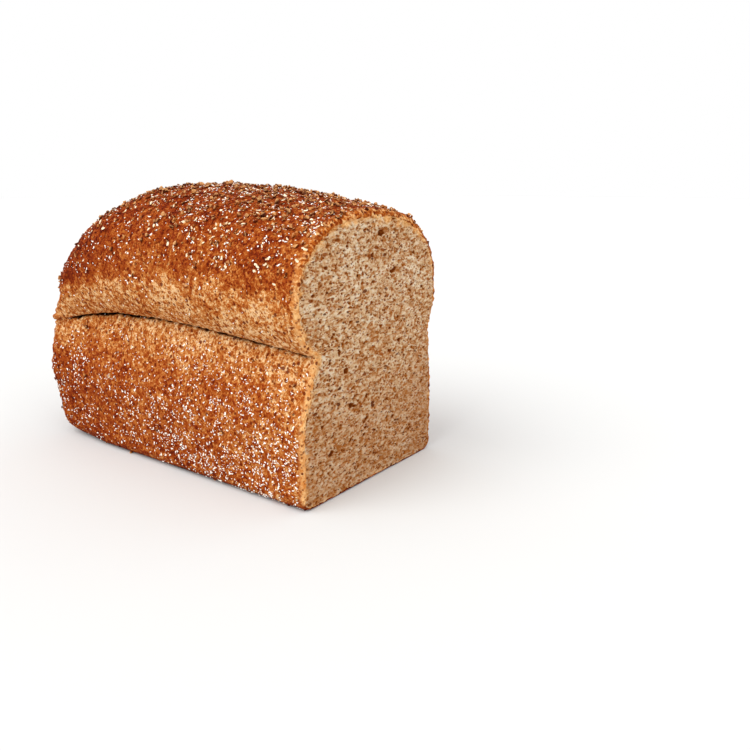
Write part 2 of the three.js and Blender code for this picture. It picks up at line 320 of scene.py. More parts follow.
# Bends points of the plain loaf to the crown's swell, the crease's wave and the leaning end
def settle(points):
    x, y, z = np.moveaxis(points, -1, 0)
    crown = smooth(creaseHeight, cutHeight, z)
    offCrease = np.clip((z - creaseHeight) / loafShape["creaseBand"], -1, 1)
    wave = (1 - offCrease ** 2) ** 4 * creaseWave(x)
    end = smooth(loafLength - loafShape["endBlend"], loafLength, -x)
    foot = loafShape["footInset"] * (1 - np.clip(z / creaseHeight, 0, 1))
    step = loafShape["crownInset"] * bulgeShare(z)
    along = 1 - ((x + loafLength / 2) / (loafLength / 2)) ** 2
    sideShare = np.minimum(1, np.abs(y) / loafShape["sideEase"])
    bow = loafShape["wallSwell"] * along * smooth(5, 40, z) * sideShare
    inset = np.where(y < 0, loafShape["nearInset"], loafShape["farInset"])
    eased = loafShape["insetEase"] * smooth(loafShape["easeStart"], loafShape["easeStop"], -x)
    ease = inset * leanShare(z) * eased * sideShare

    # round the far end the crown stands back over the tin's rim instead of hanging over it
    calm = smooth(loafLength - loafShape["calmStart"], loafLength - loafShape["calmStop"], -x)
    bulge = bulgeOut(z)
    dome = np.where(y < 0, loafShape["nearDome"], loafShape["farDome"])
    overhang = dome - loafShape["baseWidth"] / 2 + inset
    flareWidth = np.where(z < creaseHeight, loafShape["flareBelow"], loafShape["flareAbove"])
    rim = loafShape["rimFlare"] * np.exp(-((z - creaseHeight) / flareWidth) ** 2)
    heel = loafShape["heelInset"] * np.clip(1 - z / loafShape["heelHeight"], 0, 1) ** 2
    outward = calm * (rim - heel - overhang * (bulge - bulge ** loafShape["calmPower"]))
    away = levelOutward(x, y)
    return np.stack([
        x + end * (foot + step) + outward * away[..., 0],
        y + np.sign(y) * (bow + ease) + outward * away[..., 1],
        z + loafShape["crownRise"] * crown * (swell(x) - swell(0)) + wave,
    ], axis=-1)


# Low, broad unevenness of the crust, as in the CAD source: waves about 60 and 35 mm long,
# none on the base and the cut
def uneven(points):
    x, y, z = np.moveaxis(points, -1, 0)
    broad = np.sin(x / 9 + 1.3) * np.sin(y / 10 + z / 12)
    small = 0.6 * np.sin(x / 5.1 + 2) * np.sin((z - y) / 6.3)
    height = loafShape["lumpHeight"] * (broad + small) * smooth(4, 16, z) * smooth(0, 3.5, -x)
    axis = np.stack([np.clip(x, axisEnd, 0), 0 * y, 0 * z + loafShape["axisHeight"]], axis=-1)
    return points + unit(points - axis) * height[..., None]


# Crust: a grid wrapped round the loaf, closed at the far end, with a rim round the cut

crustValues = {
    # inward from the outline and back from the cut, from the floor behind the crumb outwards
    "rim": [(4.1, -3.4), (3.9, -2.1), (3.7, -1.1), (3.4, -0.6), (3.0, -0.38), (2.4, -0.35), (1.8, -0.5),
            (1.2, -0.85), (0.7, -1.35), (0.3, -2.0), (0.08, -2.7)],
    "rimEnd": -3.4,
    "rimWidth": (0.28, 0.9),  # share of it along the base, and along the near wall and the crown
    "rimFar": 0.5,  # share of that on the far wall
    "rimRagged": 0.3,
    "crackDepth": 3.2,  # the thin crack along the crease
    "crackWidth": 0.95,
    "crackWobble": 0.7,  # how far it strays up and down
    "crackOpen": 0.8,
    "crackFade": (34, 17),  # before the far end, where it starts to close and where it is closed
    "endGroove": 0.4,  # the crease round the far end
    "grooveWidth": 1.7,
    "endCalm": 6,
    "reliefs": [(11, 0.9), (4.2, 1.1), (2.3, 2.5)],  # width of the lumps and depth of the relief
    "calmRelief": 0.45,  # share of it on the near wall and the crown
    "reliefLevels": 10,
}


# Width of the rim: full along the near wall and the crown, thin along the base and the far wall
def rimShare(y, z):
    far = smooth(5, 40, y) * (1 - smooth(85, 128, z))
    ragged = 1 + crustValues["rimRagged"] * softNoise(np.stack([y, z, 0 * z], axis=-1), 2.6, 9)
    width = blend(*crustValues["rimWidth"], smooth(0.5, 8, z))
    return width * blend(1, crustValues["rimFar"], far) * ragged


# Rows of points from behind the rim, along the straight part and round the far end
def crustPoints(section):
    y, z = section[:, :2].T
    along = unit(np.gradient(section[:, :2], axis=0))
    outward = np.stack([-along[:, 1], along[:, 0]], axis=1)
    nose, power = endShape(z)
    rows = []
    for inset, x in crustValues["rim"]:
        inset = inset * rimShare(y, z)
        rows.append(np.stack([x + 0 * y, y - outward[:, 0] * inset, z - outward[:, 1] * inset], axis=-1))
    for share in np.arange(loafMesh["straightRows"]) / loafMesh["straightRows"]:
        rows.append(np.stack([blend(crustValues["rimEnd"], nose - loafLength, share), y, z], axis=-1))
    for share in np.linspace(0, 1, loafMesh["endRows"] + 1):
        start, stop = share ** (power / 2), (1 - share) ** (power / 2)
        turn = quarterTurn * start / (start + stop)
        reach = nose * np.sin(turn) ** (2 / power)
        shrink = np.clip(np.cos(turn), 0, 1) ** (2 / power)
        if share == 1:
            shrink = 0 * shrink
        level = creaseHeight + (z - creaseHeight) * shrink
        rows.append(np.stack([nose - loafLength - reach, y * shrink, level], axis=-1))
    return np.array(rows)


# Near its middle the far end is a smooth sheet, so its depth is evened out round each row
def calmEnd(points):
    rows, columns = points.shape[:2]
    first = rows - loafMesh["endRows"] - 1
    around = np.fft.rfftfreq(columns - 1) * 2 * math.pi
    for row in range(first, rows - 1):
        share = (row - first) / loafMesh["endRows"]
        ring = points[row, :-1]
        gap = np.linalg.norm(ring - np.roll(ring, 1, axis=0), axis=1).mean()
        spread = crustValues["endCalm"] * share ** 2 / gap
        depth = np.fft.irfft(np.fft.rfft(ring[:, 0]) * np.exp(-(around * spread) ** 2 / 2), columns - 1)
        points[row, :-1, 0] = depth
        points[row, -1, 0] = depth[0]
    points[-1, :, 0] = points[-2, :, 0].mean()
    return points


def makeCrust():
    section = wholeSection()
    plain = crustPoints(section)
    rows, columns = plain.shape[:2]
    points = calmEnd(uneven(settle(plain)))
    fromCrease = np.broadcast_to(section[:, 2], (rows, columns))

    # the crack runs level into the dough, with breaks in it, and is almost gone round the end
    x, y = points[..., 0], points[..., 1]
    line =np.stack([x, 0 * y, np.sign(y) * 40], axis=-1)
    opening = crustValues["crackOpen"] + 0.35 * softNoise(line, 7, 3) + 0.25 * softNoise(line, 2.4, 4)
    fadeStart, fadeStop = crustValues["crackFade"]
    atCut = 1 - 0.8 * smooth(-9, -1, x)
    opening *= 1 - 0.92 * smooth(loafLength - fadeStart, loafLength - fadeStop, -x)
    opening *= atCut
    stray = crustValues["crackWobble"] * softNoise(line, 3.1, 5)
    width = crustValues["crackWidth"] * (1 + 0.4 * softNoise(line, 4.3, 6))
    crack = np.exp(-((fromCrease - stray) / width) ** 2) * np.clip(opening, 0.08, 1.3)
    crack *= smooth(6, 30, np.abs(y)) * np.where(y > 0, atCut, 1)
    fromLine = points[..., 2] - creaseHeight - creaseWave(x)
    groove = crustValues["endGroove"] * np.exp(-(fromLine / crustValues["grooveWidth"]) ** 2)
    groove *= smooth(loafLength - 14, loafLength - 3, -x) * smooth(49, 32, np.abs(y))
    points = points - levelOutward(x, y) * (crack * crustValues["crackDepth"] + groove)[..., None]

    crust, row, column = addGrid("loafCrust", rows - 1, columns - 1)
    spot = points[row, column]
    cut = -spot[:, 0]
    writePoints(crust, toPlace(spot))
    writeValues(crust, "crack", crack[row, column])
    writeValues(crust, "rise", spot[:, 2] - creaseHeight - creaseWave(spot[:, 0]))
    writeValues(crust, "fromCut", cut)

    # the relief fades towards the base and the crack, and the floor behind the rim has none
    relief = smooth(1.5, 7, spot[:, 2]) * blend(0.8, 1, smooth(0.3, 4, cut)) * (row >= 4)
    relief *= 1 - np.clip(crack[row, column], 0, 1)
    rough = np.maximum(smooth(25, 48, spot[:, 1]), smooth(160, 195, cut))
    relief *= blend(crustValues["calmRelief"], 1, rough)
    group = crust.vertex_groups.new(name="relief")
    levels = crustValues["reliefLevels"]
    for level in range(1, levels + 1):
        chosen = np.flatnonzero(np.rint(relief * levels) == level)
        group.add(chosen.tolist(), level / levels, "REPLACE")

    # the seam is merged and the floor behind the rim is closed
    setMode("EDIT")
    bpy.ops.mesh.select_all(action="SELECT")
    bpy.ops.mesh.remove_doubles(threshold=1e-6)
    bpy.ops.mesh.select_all(action="DESELECT")
    bpy.ops.mesh.select_non_manifold()
    bpy.ops.mesh.edge_face_add()
    bpy.ops.mesh.select_all(action="SELECT")
    bpy.ops.mesh.normals_make_consistent(inside=False)
    setMode("OBJECT")
    for size, depth in crustValues["reliefs"]:
        texture = bpy.data.textures.new("crustRelief", "CLOUDS")
        texture.noise_scale = size * mm
        texture.noise_depth = 1
        displace = crust.modifiers.new("relief", "DISPLACE")
        displace.texture = texture
        displace.texture_coords = "LOCAL"
        displace.strength = depth * mm
        displace.vertex_group = "relief"
        bpy.ops.object.modifier_apply(modifier=displace.name)
        bpy.data.textures.remove(texture)
    bpy.ops.object.shade_smooth()
    return crust, section


crust, section = makeCrust()
print("crust shaped:", len(crust.data.polygons), "faces")

# Crumb: a grid over the cut face with its pores pressed in, closed behind

crumbValues = {
    "step": 0.38,  # spacing of the mesh
    "tuck": (1.8, 3.8),  # where it ends inside the outline, and from where it goes in under the rim
    "tuckDepth": 0.8,
    "level": -0.3,  # mean place of the crumb behind the plane of the cut
    "back": -4.6,
    "crags": [(14, 0.25, 5), (4.2, 0.25, 6), (1.4, 0.15, 7)],  # width, height and seed of the lumps
    "foam": 0.5,  # depth of the hollows between the thin walls of the small bubbles
    "foamSizes": [(2.0, 74), (1.4, 75)],  # width of the hollows and seed
    "foamWall": 2.6,  # a higher value makes the walls thinner
    "stretch": (1, 0.55, 1),  # less than 1 draws the bubbles out along Y, as the dough spread
    # number of pores, least and most radius, and depth as a share of the radius
    "pores": [(3400, 0.5, 0.85, 1.3), (320, 0.8, 1.3, 1.2), (22, 1.2, 1.8, 1.1)],
    "poreLean": 0.6,  # in radians, to either side
    # the widest ones, as in the CAD source: y, z, width, height, depth
    "widePores": [(7.1, 120, 5.2, 3, 2.6), (-25.1, 118.9, 4.4, 2.2, 1), (-25.3, 68.8, 2.6, 3.2, 1.8),
                  (-20.4, 59.3, 4, 3, 2), (-16.9, 41.7, 3.6, 2.4, 2.2), (-32.1, 22.5, 4.2, 3.4, 2.2)],
}


# Distance in from the outline of the section, negative outside it
def insetOf(points, outline):
    best = np.full(len(points), 1e9)
    inside = np.zeros(len(points), dtype=bool)
    y, z = points.T
    for start, stop in zip(outline, np.roll(outline, -1, axis=0)):
        side = stop - start
        share = np.clip(((y - start[0]) * side[0] + (z - start[1]) * side[1]) / (side @ side), 0, 1)
        away = (y - start[0] - share * side[0]) ** 2 + (z - start[1] - share * side[1]) ** 2
        best = np.minimum(best, away)
        crosses = (start[1] > z) != (stop[1] > z)
        if crosses.any():
            at = start[0] + (z - start[1]) / (side[1] or 1) * side[0]
            inside ^= crosses & (y < at)
    return np.where(inside, 1, -1) * np.sqrt(best)


# Depth of the pores at each point of the grid, whose rows run along Y and are stacked along Z
def pressPores(y, z, inset, random):
    step = y[0, 1] - y[0, 0]
    lowest = np.array([z.min(), y.min()])
    depth = np.zeros(y.shape)
    wobble = softNoise(np.stack([0 * y, y, z], axis=-1), 0.9, 8)
    within = np.flatnonzero(inset > 1.2)
    pores = [(*pore, 0) for pore in crumbValues["widePores"]]
    for count, least, most, share in crumbValues["pores"]:
        for index in random.choice(within, count):
            width = blend(least, most, random.random() ** 1.5) * 2
            height = width * random.uniform(0.4, 0.75)
            lean = random.uniform(-crumbValues["poreLean"], crumbValues["poreLean"])
            poreY, poreZ = (y.flat[index], z.flat[index]) + random.uniform(-step, step, 2)
            poreDepth = width / 2 * share * random.uniform(0.6, 1.1)
            pores.append((poreY, poreZ, width, height, poreDepth, lean))
    for poreY, poreZ, width, height, poreDepth, lean in pores:
        reach = width * 0.75 + step
        middle = np.array([poreZ, poreY]) - lowest
        first = np.floor((middle - reach) / step).astype(int)
        last = np.ceil((middle + reach) / step).astype(int) + 1
        window = tuple(slice(max(a, 0), max(b, 0)) for a, b in zip(first, last))
        offY, offZ = y[window] - poreY, z[window] - poreZ
        along = (offY * math.cos(lean) + offZ * math.sin(lean)) / (width / 2)
        across = (offZ * math.cos(lean) - offY * math.sin(lean)) / (height / 2)
        away = np.sqrt(along ** 2 + across ** 2) * (1 + 0.25 * wobble[window])
        bowl = poreDepth * np.sqrt(np.clip(1 - away ** 2, 0, 1))
        depth[window] = np.maximum(depth[window], bowl)
    return depth.ravel()


def makeCrumb():
    step = crumbValues["step"]
    reach = loafShape["farDome"]
    rows, columns = int(cutHeight / step), int(2 * reach / step)
    crumb, row, column = addGrid("loafCrumb", rows, columns)
    place = row * (columns + 1) + column
    allY, allZ = np.meshgrid(np.linspace(-reach, reach, columns + 1), np.linspace(0, cutHeight, rows + 1))
    spots = np.stack([allY.ravel(), allZ.ravel()], axis=-1)
    inset = insetOf(spots, section[:-1, :2]) / rimShare(*spots.T)
    depth = pressPores(allY, allZ, inset, np.random.default_rng(21))
    solid = np.stack([0 * spots[:, 0], *spots.T], axis=-1)
    crag = sum(height * softNoise(solid, size, seed) for size, height, seed in crumbValues["crags"])

    # the walls between the small bubbles stand up as thin crooked ridges
    flat = solid * crumbValues["stretch"]
    bent = flat + 0.9 * np.stack([softNoise(flat, 2.1, seed) for seed in (71, 72, 73)], axis=-1)
    ridge = np.maximum(*(1 - crumbValues["foamWall"] * np.abs(softNoise(bent, size, seed))
                         for size, seed in crumbValues["foamSizes"]))
    depth = np.maximum(depth, crumbValues["foam"] * (1 - np.clip(ridge, 0, 1)))
    tucked = crumbValues["tuckDepth"] * (1 - smooth(*crumbValues["tuck"], inset))
    x = crumbValues["level"] + crag - depth - tucked
    points = np.stack([np.minimum(x, -0.02), *spots.T], axis=-1)
    writePoints(crumb, toPlace(points[place]))
    writeValues(crumb, "depth", depth[place])
    writeValues(crumb, "inset", inset[place])

    # what lies outside the rim goes, and the edge is drawn back and closed
    editVertices(crumb, inset[place] < crumbValues["tuck"][0])
    bpy.ops.mesh.delete(type="VERT")
    bpy.ops.mesh.select_all(action="SELECT")
    bpy.ops.mesh.region_to_loop()
    bpy.ops.mesh.extrude_region_move()
    bpy.ops.mesh.edge_face_add()
    setMode("OBJECT")
    chosen = np.empty(len(crumb.data.vertices), dtype=bool)
    crumb.data.vertices.foreach_get("select", chosen)
    points = readPoints(crumb)
    points[chosen, 0] = cutPlace[0] + crumbValues["back"] * mm
    writePoints(crumb, points)
    setMode("EDIT")
    bpy.ops.mesh.select_all(action="SELECT")
    bpy.ops.mesh.normals_make_consistent(inside=False)
    setMode("OBJECT")
    bpy.ops.object.shade_smooth()
    return crumb


crumb = makeCrumb()
print("crumb shaped:", len(crumb.data.polygons), "faces")

# Small pieces baked onto the crust. Each shape is modelled one unit long and then copied.

# Width and height are shares of the length, sink is a share of the height, gap is the least
# between two, and tilt says how much they stand askew.
scatterValues = {
    "branChips": {
        "shapes": [(1, 0, 2), (2, 0.2, 2), (3, 0.35, 2), (4, -0.1, 1), (5, 0.2, 1), (6, 0.05, 1),
                   (7, 0.3, 1)],
        "count": 3200, "length": (0.9, 2.9), "width": (0.55, 0.95), "height": (0.35, 0.75),
        "gap": 0.9, "sink": 0.2, "tilt": 0.3, "seed": 41,
    },
    "paleFlakes": {
        "shapes": [(11, 0.5), (12, -0.4), (13, 0.9), (14, 0.2)],
        "count": 900, "length": (0.9, 2.6), "width": (0.35, 0.7), "height": (0.12, 0.25),
        "gap": 1.0, "sink": 0.1, "tilt": 0.25, "seed": 42,
    },
    "mealGrains": {
        "shapes": [(21, 0), (22, 0.2), (23, 0.6), (24, 0), (25, 0.1), (26, 1.3)],
        "count": 9800, "length": (0.4, 1.05), "width": (0.6, 0.95), "height": (0.35, 0.65),
        "gap": 0.4, "sink": 0.15, "tilt": 0.2, "seed": 43,
    },
}


# A rough chip of bran: a ball pressed flat on the crust, dented all over, with one edge curled up
def modelChip(seed, curl, fineness):
    deselectAll()
    bpy.ops.mesh.primitive_ico_sphere_add(subdivisions=fineness, radius=0.5)
    chip = bpy.context.object
    setMode("EDIT")
    bpy.ops.transform.vertex_random(offset=0.2, uniform=0.8, normal=0.5, seed=seed)
    setMode("OBJECT")
    editVertices(chip, readPoints(chip)[:, 0] > 0.2)  # its outer edge
    bpy.ops.transform.translate(value=(-0.08, 0, curl))
    setMode("OBJECT")
    return takeShape(chip)


# A flake of oat or bran: a thin disc, dented at its edge and bent
def modelFlake(seed, curl):
    deselectAll()
    bpy.ops.mesh.primitive_uv_sphere_add(segments=9, ring_count=5, radius=0.5)
    flake = bpy.context.object
    setMode("EDIT")
    bpy.ops.transform.vertex_random(offset=0.12, uniform=0.9, normal=0.2, seed=seed)
    setMode("OBJECT")
    points = readPoints(flake)
    points[:, 2] += curl * ((points[:, 0] + 0.15) ** 2 - 0.1) * 4
    writePoints(flake, points)
    return takeShape(flake)


# A grain of meal: a small dented ball of twenty facets, some drawn out long
def modelGrain(seed, longer):
    deselectAll()
    bpy.ops.mesh.primitive_ico_sphere_add(subdivisions=1, radius=0.5)
    grain = bpy.context.object
    setMode("EDIT")
    bpy.ops.transform.vertex_random(offset=0.17, uniform=0.8, normal=0.3, seed=seed)
    bpy.ops.transform.resize(value=(1 + longer, 1, 1))
    setMode("OBJECT")
    return takeShape(grain)


def readTriangles(piece):
    piece.data.calc_loop_triangles()
    corners = np.empty(len(piece.data.loop_triangles) * 3, dtype=int)
    piece.data.loop_triangles.foreach_get("vertices", corners)
    return corners.reshape(-1, 3)


# The points and triangles of a small shape, which is then taken away again
def takeShape(piece):
    mesh = piece.data
    shape = (readPoints(piece), readTriangles(piece))
    bpy.data.objects.remove(piece)
    bpy.data.meshes.remove(mesh)
    return shape


# Spots on the crust, drawn by area and by how many of the pieces lie there
def surfaceSpots(density, count, gap, random):
    corners = readTriangles(crust)
    points = readPoints(crust)
    normals = np.empty(len(points) * 3)
    crust.data.vertex_normals.foreach_get("vector", normals)
    normals = normals.reshape(-1, 3)
    a, b, c = points[corners].transpose(1, 0, 2)
    area = np.linalg.norm(np.cross(b - a, c - a), axis=1) / 2
    local = (points - cutPlace) / mm
    chance = density(local, readValues(crust, "rise"), readValues(crust, "fromCut"))
    running = np.cumsum(area * chance[corners].mean(axis=1))
    running /= running[-1]
    taken, spots, outward = {}, [], []
    while len(spots) < count:
        for triangle, u, v in zip(np.searchsorted(running, random.random(count)), *random.random((2, count))):
            if u + v > 1:
                u, v = 1 - u, 1 - v
            share = np.array([1 - u - v, u, v])
            spot = share @ points[corners[triangle]]
            cell = tuple(np.floor(spot / (gap * mm)).astype(int))
            near = [taken.get((cell[0] + i, cell[1] + j, cell[2] + k))
                    for i in (-1, 0, 1) for j in (-1, 0, 1) for k in (-1, 0, 1)]
            if any(other is not None and np.linalg.norm(other - spot) < gap * mm for other in near):
                continue
            taken[cell] = spot
            spots.append(spot)
            outward.append(share @ normals[corners[triangle]])
            if len(spots) == count:
                break
    return np.array(spots), unit(np.array(outward))


# Copies of the shapes on the crust in one mesh, each with its own size, turn, tilt and tone
def scatter(name, modelShape, density):
    values = scatterValues[name]
    shapes = [modelShape(*shape) for shape in values["shapes"]]
    random = np.random.default_rng(values["seed"])
    spots, outward = surfaceSpots(density, values["count"], values["gap"], random)
    count = len(spots)
    length = blend(*values["length"], random.random(count) ** 1.8)
    width = length * random.uniform(*values["width"], count)
    height = length * random.uniform(*values["height"], count)
    upward = unit(outward + random.normal(0, values["tilt"], (count, 3)))
    along = unit(np.cross(upward, random.normal(0, 1, (count, 3))))
    across = np.cross(upward, along)
    lift = (0.5 - values["sink"]) * height * mm
    tones = random.random(count)
    kinds = random.integers(0, len(shapes), count)
    parts, start = [], 0
    for kind, (shape, corners) in enumerate(shapes):
        here = np.flatnonzero(kinds == kind)
        size = np.stack([length[here], width[here], height[here]], axis=-1)[:, None] * mm
        axes = np.stack([along[here], across[here], upward[here]], axis=1)
        placed = (shape[None] * size) @ axes + (spots[here] + outward[here] * lift[here, None])[:, None]
        copies = np.arange(len(here))[:, None, None] * len(shape) + start
        parts.append((placed.reshape(-1, 3), (corners[None] + copies).reshape(-1, 3),
                      np.repeat(tones[here], len(shape)), np.tile(shape[:, 2] + 0.5, len(here))))
        start += len(here) * len(shape)
    points, corners, tones, tips = (np.concatenate(column) for column in zip(*parts))
    mesh = bpy.data.meshes.new(name)
    mesh.from_pydata(points.tolist(), [], corners.tolist())
    piece = bpy.data.objects.new(name, mesh)
    bpy.context.scene.collection.objects.link(piece)
    writeValues(piece, "tone", tones)
    writeValues(piece, "tip", tips)
    print(name + ":", count, "pieces,", len(corners), "triangles")
    return piece


# How thick each kind lies, by the height over the crease and the distance from the cut.
# Bran lies on the crown, thickest along its crest and round the top of the far end.
def chipDensity(local, rise, fromCut):
    patch = smooth(-0.5, 0.6, softNoise(local, 15, 31))
    crown = smooth(14, 52, rise) ** 1.5 * blend(0.6, 1.1, smooth(120, 20, fromCut))
    crest = 1.9 * smooth(44, 64, rise) + 2.2 * smooth(6, 24, rise) * smooth(165, 190, fromCut)
    bare = 0.04 + 0.4 * smooth(30, 45, local[:, 1]) + 0.3 * smooth(5, 1.5, local[:, 2])
    return (bare + crown * blend(0.3, 1, patch) + crest) * (fromCut > 1.2) * (local[:, 2] > 0.4)


# Flakes lie on the crown, more of them towards the cut
def flakeDensity(local, rise, fromCut):
    patch = smooth(-0.3, 0.7, softNoise(local, 12, 32))
    crown = smooth(22, 48, rise) * blend(0.6, 1.5, smooth(110, 15, fromCut))
    return (crown * blend(0.3, 1, patch) + 0.03 * (rise < -10)) * (fromCut > 2.5) * (local[:, 2] > 6)


# Meal dusts the walls in patches, most of it low down, and the crown in small clusters
def mealDensity(local, rise, fromCut):
    patch = smooth(-0.6, 0.7, softNoise(local, 9, 33))
    fine = smooth(-0.2, 0.8, softNoise(local, 3.5, 34))
    wall = smooth(-1, -20, rise) * blend(0.65, 1.1, smooth(150, 60, fromCut)) * blend(0.45, 1.3, patch)
    wall *= 1 + 0.6 * smooth(-30, -55, rise) * smooth(140, 60, fromCut)
    crown = 0.5 * smooth(19, 30, rise) * blend(0.35, 1.2, patch) * blend(0.2, 2.4, fine)
    crown += 0.7 * smooth(40, 58, rise) * fine
    foot = blend(1, smooth(2, 9, local[:, 2]), smooth(20, 90, fromCut))
    return (wall * foot + crown + 0.05) * (fromCut > 2.2) * (local[:, 2] > 1.2)


chips = scatter("branChips", modelChip, chipDensity)
flakes = scatter("paleFlakes", modelFlake, flakeDensity)
meal = scatter("mealGrains", modelGrain, mealDensity)


# Scale of a pattern whose features are that many millimetres wide, on Object coordinates
def patternScale(size):
    return 1 / (size * mm)


# Specks in a surface: how much of one shows at a place, and a value of its own for its tone
def speckPattern(tree, place, size, least, widest, strength):
    cells = addNode(tree, "TexVoronoi", {"Vector": place, "Scale": patternScale(size)})
    drawn = addNode(tree, "SeparateColor", {"Color": cells.outputs["Color"]})
    reach = addNode(tree, "MapRange", {
        "Value": drawn.outputs["Red"], "From Min": least, "To Max": widest})
    inside = addNode(tree, "Math", {0: reach, 1: cells.outputs["Distance"]}, operation="SUBTRACT")
    shown = addNode(tree, "MapRange", {"Value": inside, "From Max": 0.1, "To Max": strength})
    return shown, drawn.outputs["Green"]


crustTones = {
    "bake": [(0.0, "#e6bd8e"), (0.13, "#d29a60"), (0.27, "#bb7133"), (0.5, "#9a4716"), (0.66, "#822f0d"),
             (0.8, "#641c08"), (1.0, "#340d03")],
    "rimSide": [(0, "#cf813c"), (1, "#f3c284")],
    "rimCrown": [(0, "#7d2c06"), (0.5, "#bd6822"), (1, "#eab87c")],
    "rimStrength": 0.9,
    "speck": "#641f07",
    "spot": "#8f3d0c",
    # near-black painted shade in the crack along the crease
    "crack": "#240a02",
    # size of the cells in millimetres, least value drawn, widest reach, strength and colour
    "specks": [(2.7, 0.1, 0.42, 0.9, "speck"), (1.7, 0.25, 0.46, 0.7, "speck"),
               (2.2, 0.0, 0.55, 0.7, "spot")],
    # how much each noise shifts the bake: lumps of 20, 6 and 2.3 mm, and the pale fibres
    "unevenBake": (0.45, 0.5, 1.5, -1.0),
    "roughness": (0.5, 0.8),
    "specular": 0.02,
}


# Crust: wholemeal dough baked in a greased tin. The sugars in its skin browned, most on the
# crown that stood free, least on the band that rose over the rim last. Dry and leathery, matt,
# with paler fibres of gluten and dark specks of bran showing in it.
def bakedCrust():
    material, tree = newMaterial("bakedWholemealCrust")
    place = addNode(tree, "TexCoord").outputs["Object"]
    bake, rim, crown, crack = (addNode(tree, "Attribute", attribute_name=name).outputs["Fac"]
                               for name in ("bake", "rim", "crown", "crack"))
    broad, middle, fine = (addNode(tree, "TexNoise", {
        "Vector": place, "Scale": patternScale(size), "Detail": 3, "Roughness": 0.6, "Distortion": bend,
    }).outputs["Fac"] for size, bend in ((20, 0), (6, 0.3), (2.3, 0.8)))

    # pale fibres, really a few tenths of a millimetre wide and drawn wider so that they show
    fibres = addNode(tree, "TexNoise", {
        "Vector": place, "Scale": patternScale(1.9), "Detail": 2, "Distortion": 2}).outputs["Fac"]
    tone = bake
    for noise, strength in zip((broad, middle, fine, fibres), crustTones["unevenBake"]):
        centred = addNode(tree, "Math", {0: noise, 1: 0.5}, operation="SUBTRACT")
        tone = addNode(tree, "Math", {0: centred, 1: strength, 2: tone}, operation="MULTIPLY_ADD")
    color = addNode(tree, "ValToRGB", {"Fac": tone}, stops=crustTones["bake"])

    # the skin's thickness shows golden at the cut, darker at the crown
    edge = addNode(tree, "Math", {0: middle, 1: fine}, operation="ADD")
    edge = addNode(tree, "Math", {0: edge, 1: rim}, operation="MULTIPLY")
    atRim = addNode(tree, "MapRange", {
        "Value": edge, "From Min": 0.2, "From Max": 1.0, "To Max": crustTones["rimStrength"]})
    rimTone = addNode(tree, "MapRange", {"Value": fine, "From Min": 0.38, "From Max": 0.62})
    rimSide, rimCrown = (addNode(tree, "ValToRGB", {"Fac": rimTone}, stops=crustTones[name])
                         for name in ("rimSide", "rimCrown"))
    rimColor = addNode(tree, "Mix", {0: crown, 6: rimSide, 7: rimCrown}, data_type="RGBA").outputs[2]
    color = addNode(tree, "Mix", {0: atRim, 6: color, 7: rimColor}, data_type="RGBA").outputs[2]

    # specks of bran in the skin, half a millimetre to one wide, and small browner spots
    for *speck, speckTone in crustTones["specks"]:
        shown = speckPattern(tree, place, *speck)[0]
        color = addNode(tree, "Mix", {
            0: shown, 6: color, 7: linearColor(crustTones[speckTone])}, data_type="RGBA").outputs[2]
    # painted shade: the crack along the crease is painted near-black
    gap = addNode(tree, "MapRange", {"Value": crack, "From Min": 0.12, "From Max": 0.5})
    color = addNode(tree, "Mix", {
        0: gap, 6: color, 7: linearColor(crustTones["crack"])}, data_type="RGBA").outputs[2]

    # bump of the leathery skin, from its lumps down to a grain of 0.6 mm
    grain = addNode(tree, "TexNoise", {
        "Vector": place, "Scale": patternScale(0.6), "Detail": 2}).outputs["Fac"]
    relief = addNode(tree, "Math", {0: middle, 1: 2.0, 2: grain}, operation="MULTIPLY_ADD")
    relief = addNode(tree, "Math", {0: fine, 1: 1.5, 2: relief}, operation="MULTIPLY_ADD")
    bump = addNode(tree, "Bump", {"Height": relief, "Strength": 0.9, "Distance": 0.6 * mm})
    smoothest, roughest = crustTones["roughness"]
    roughness = addNode(tree, "MapRange", {
        "Value": middle, "To Min": smoothest, "To Max": roughest})
    shader = addNode(tree, "BsdfPrincipled", {
        "Base Color": color, "Roughness": roughness, "Specular IOR Level": crustTones["specular"],
        "Normal": bump})
    addNode(tree, "OutputMaterial", {"Surface": shader})
    return material


crumbTones = {
    "wall": [(0.45, "#8c5024"), (0.55, "#b18257"), (0.66, "#c9a781"), (0.82, "#dac7ad")],
    # painted shade, with a browner crumb low down: the cut face darkens to this towards the base and the
    # lower far side
    "shadeAndBrowning": "#9a5f31",
    # painted shade in the pores: orange-brown, darker the deeper the hollow
    "pore": [(0.1, "#ab6a32"), (0.7, "#93511c"), (1.0, "#6b2e0a")],
    "speck": [(0.2, "#96501c"), (0.65, "#75340b"), (0.97, "#451403")],
    "edge": [(0.35, "#d18841"), (0.65, "#efbf80")],
    # size of the cells in millimetres, least value drawn, widest reach and strength
    "specks": [(2.9, 0.55, 0.4, 0.9), (1.8, 0.15, 0.42, 0.85), (1.3, 0.0, 0.48, 0.85)],
}
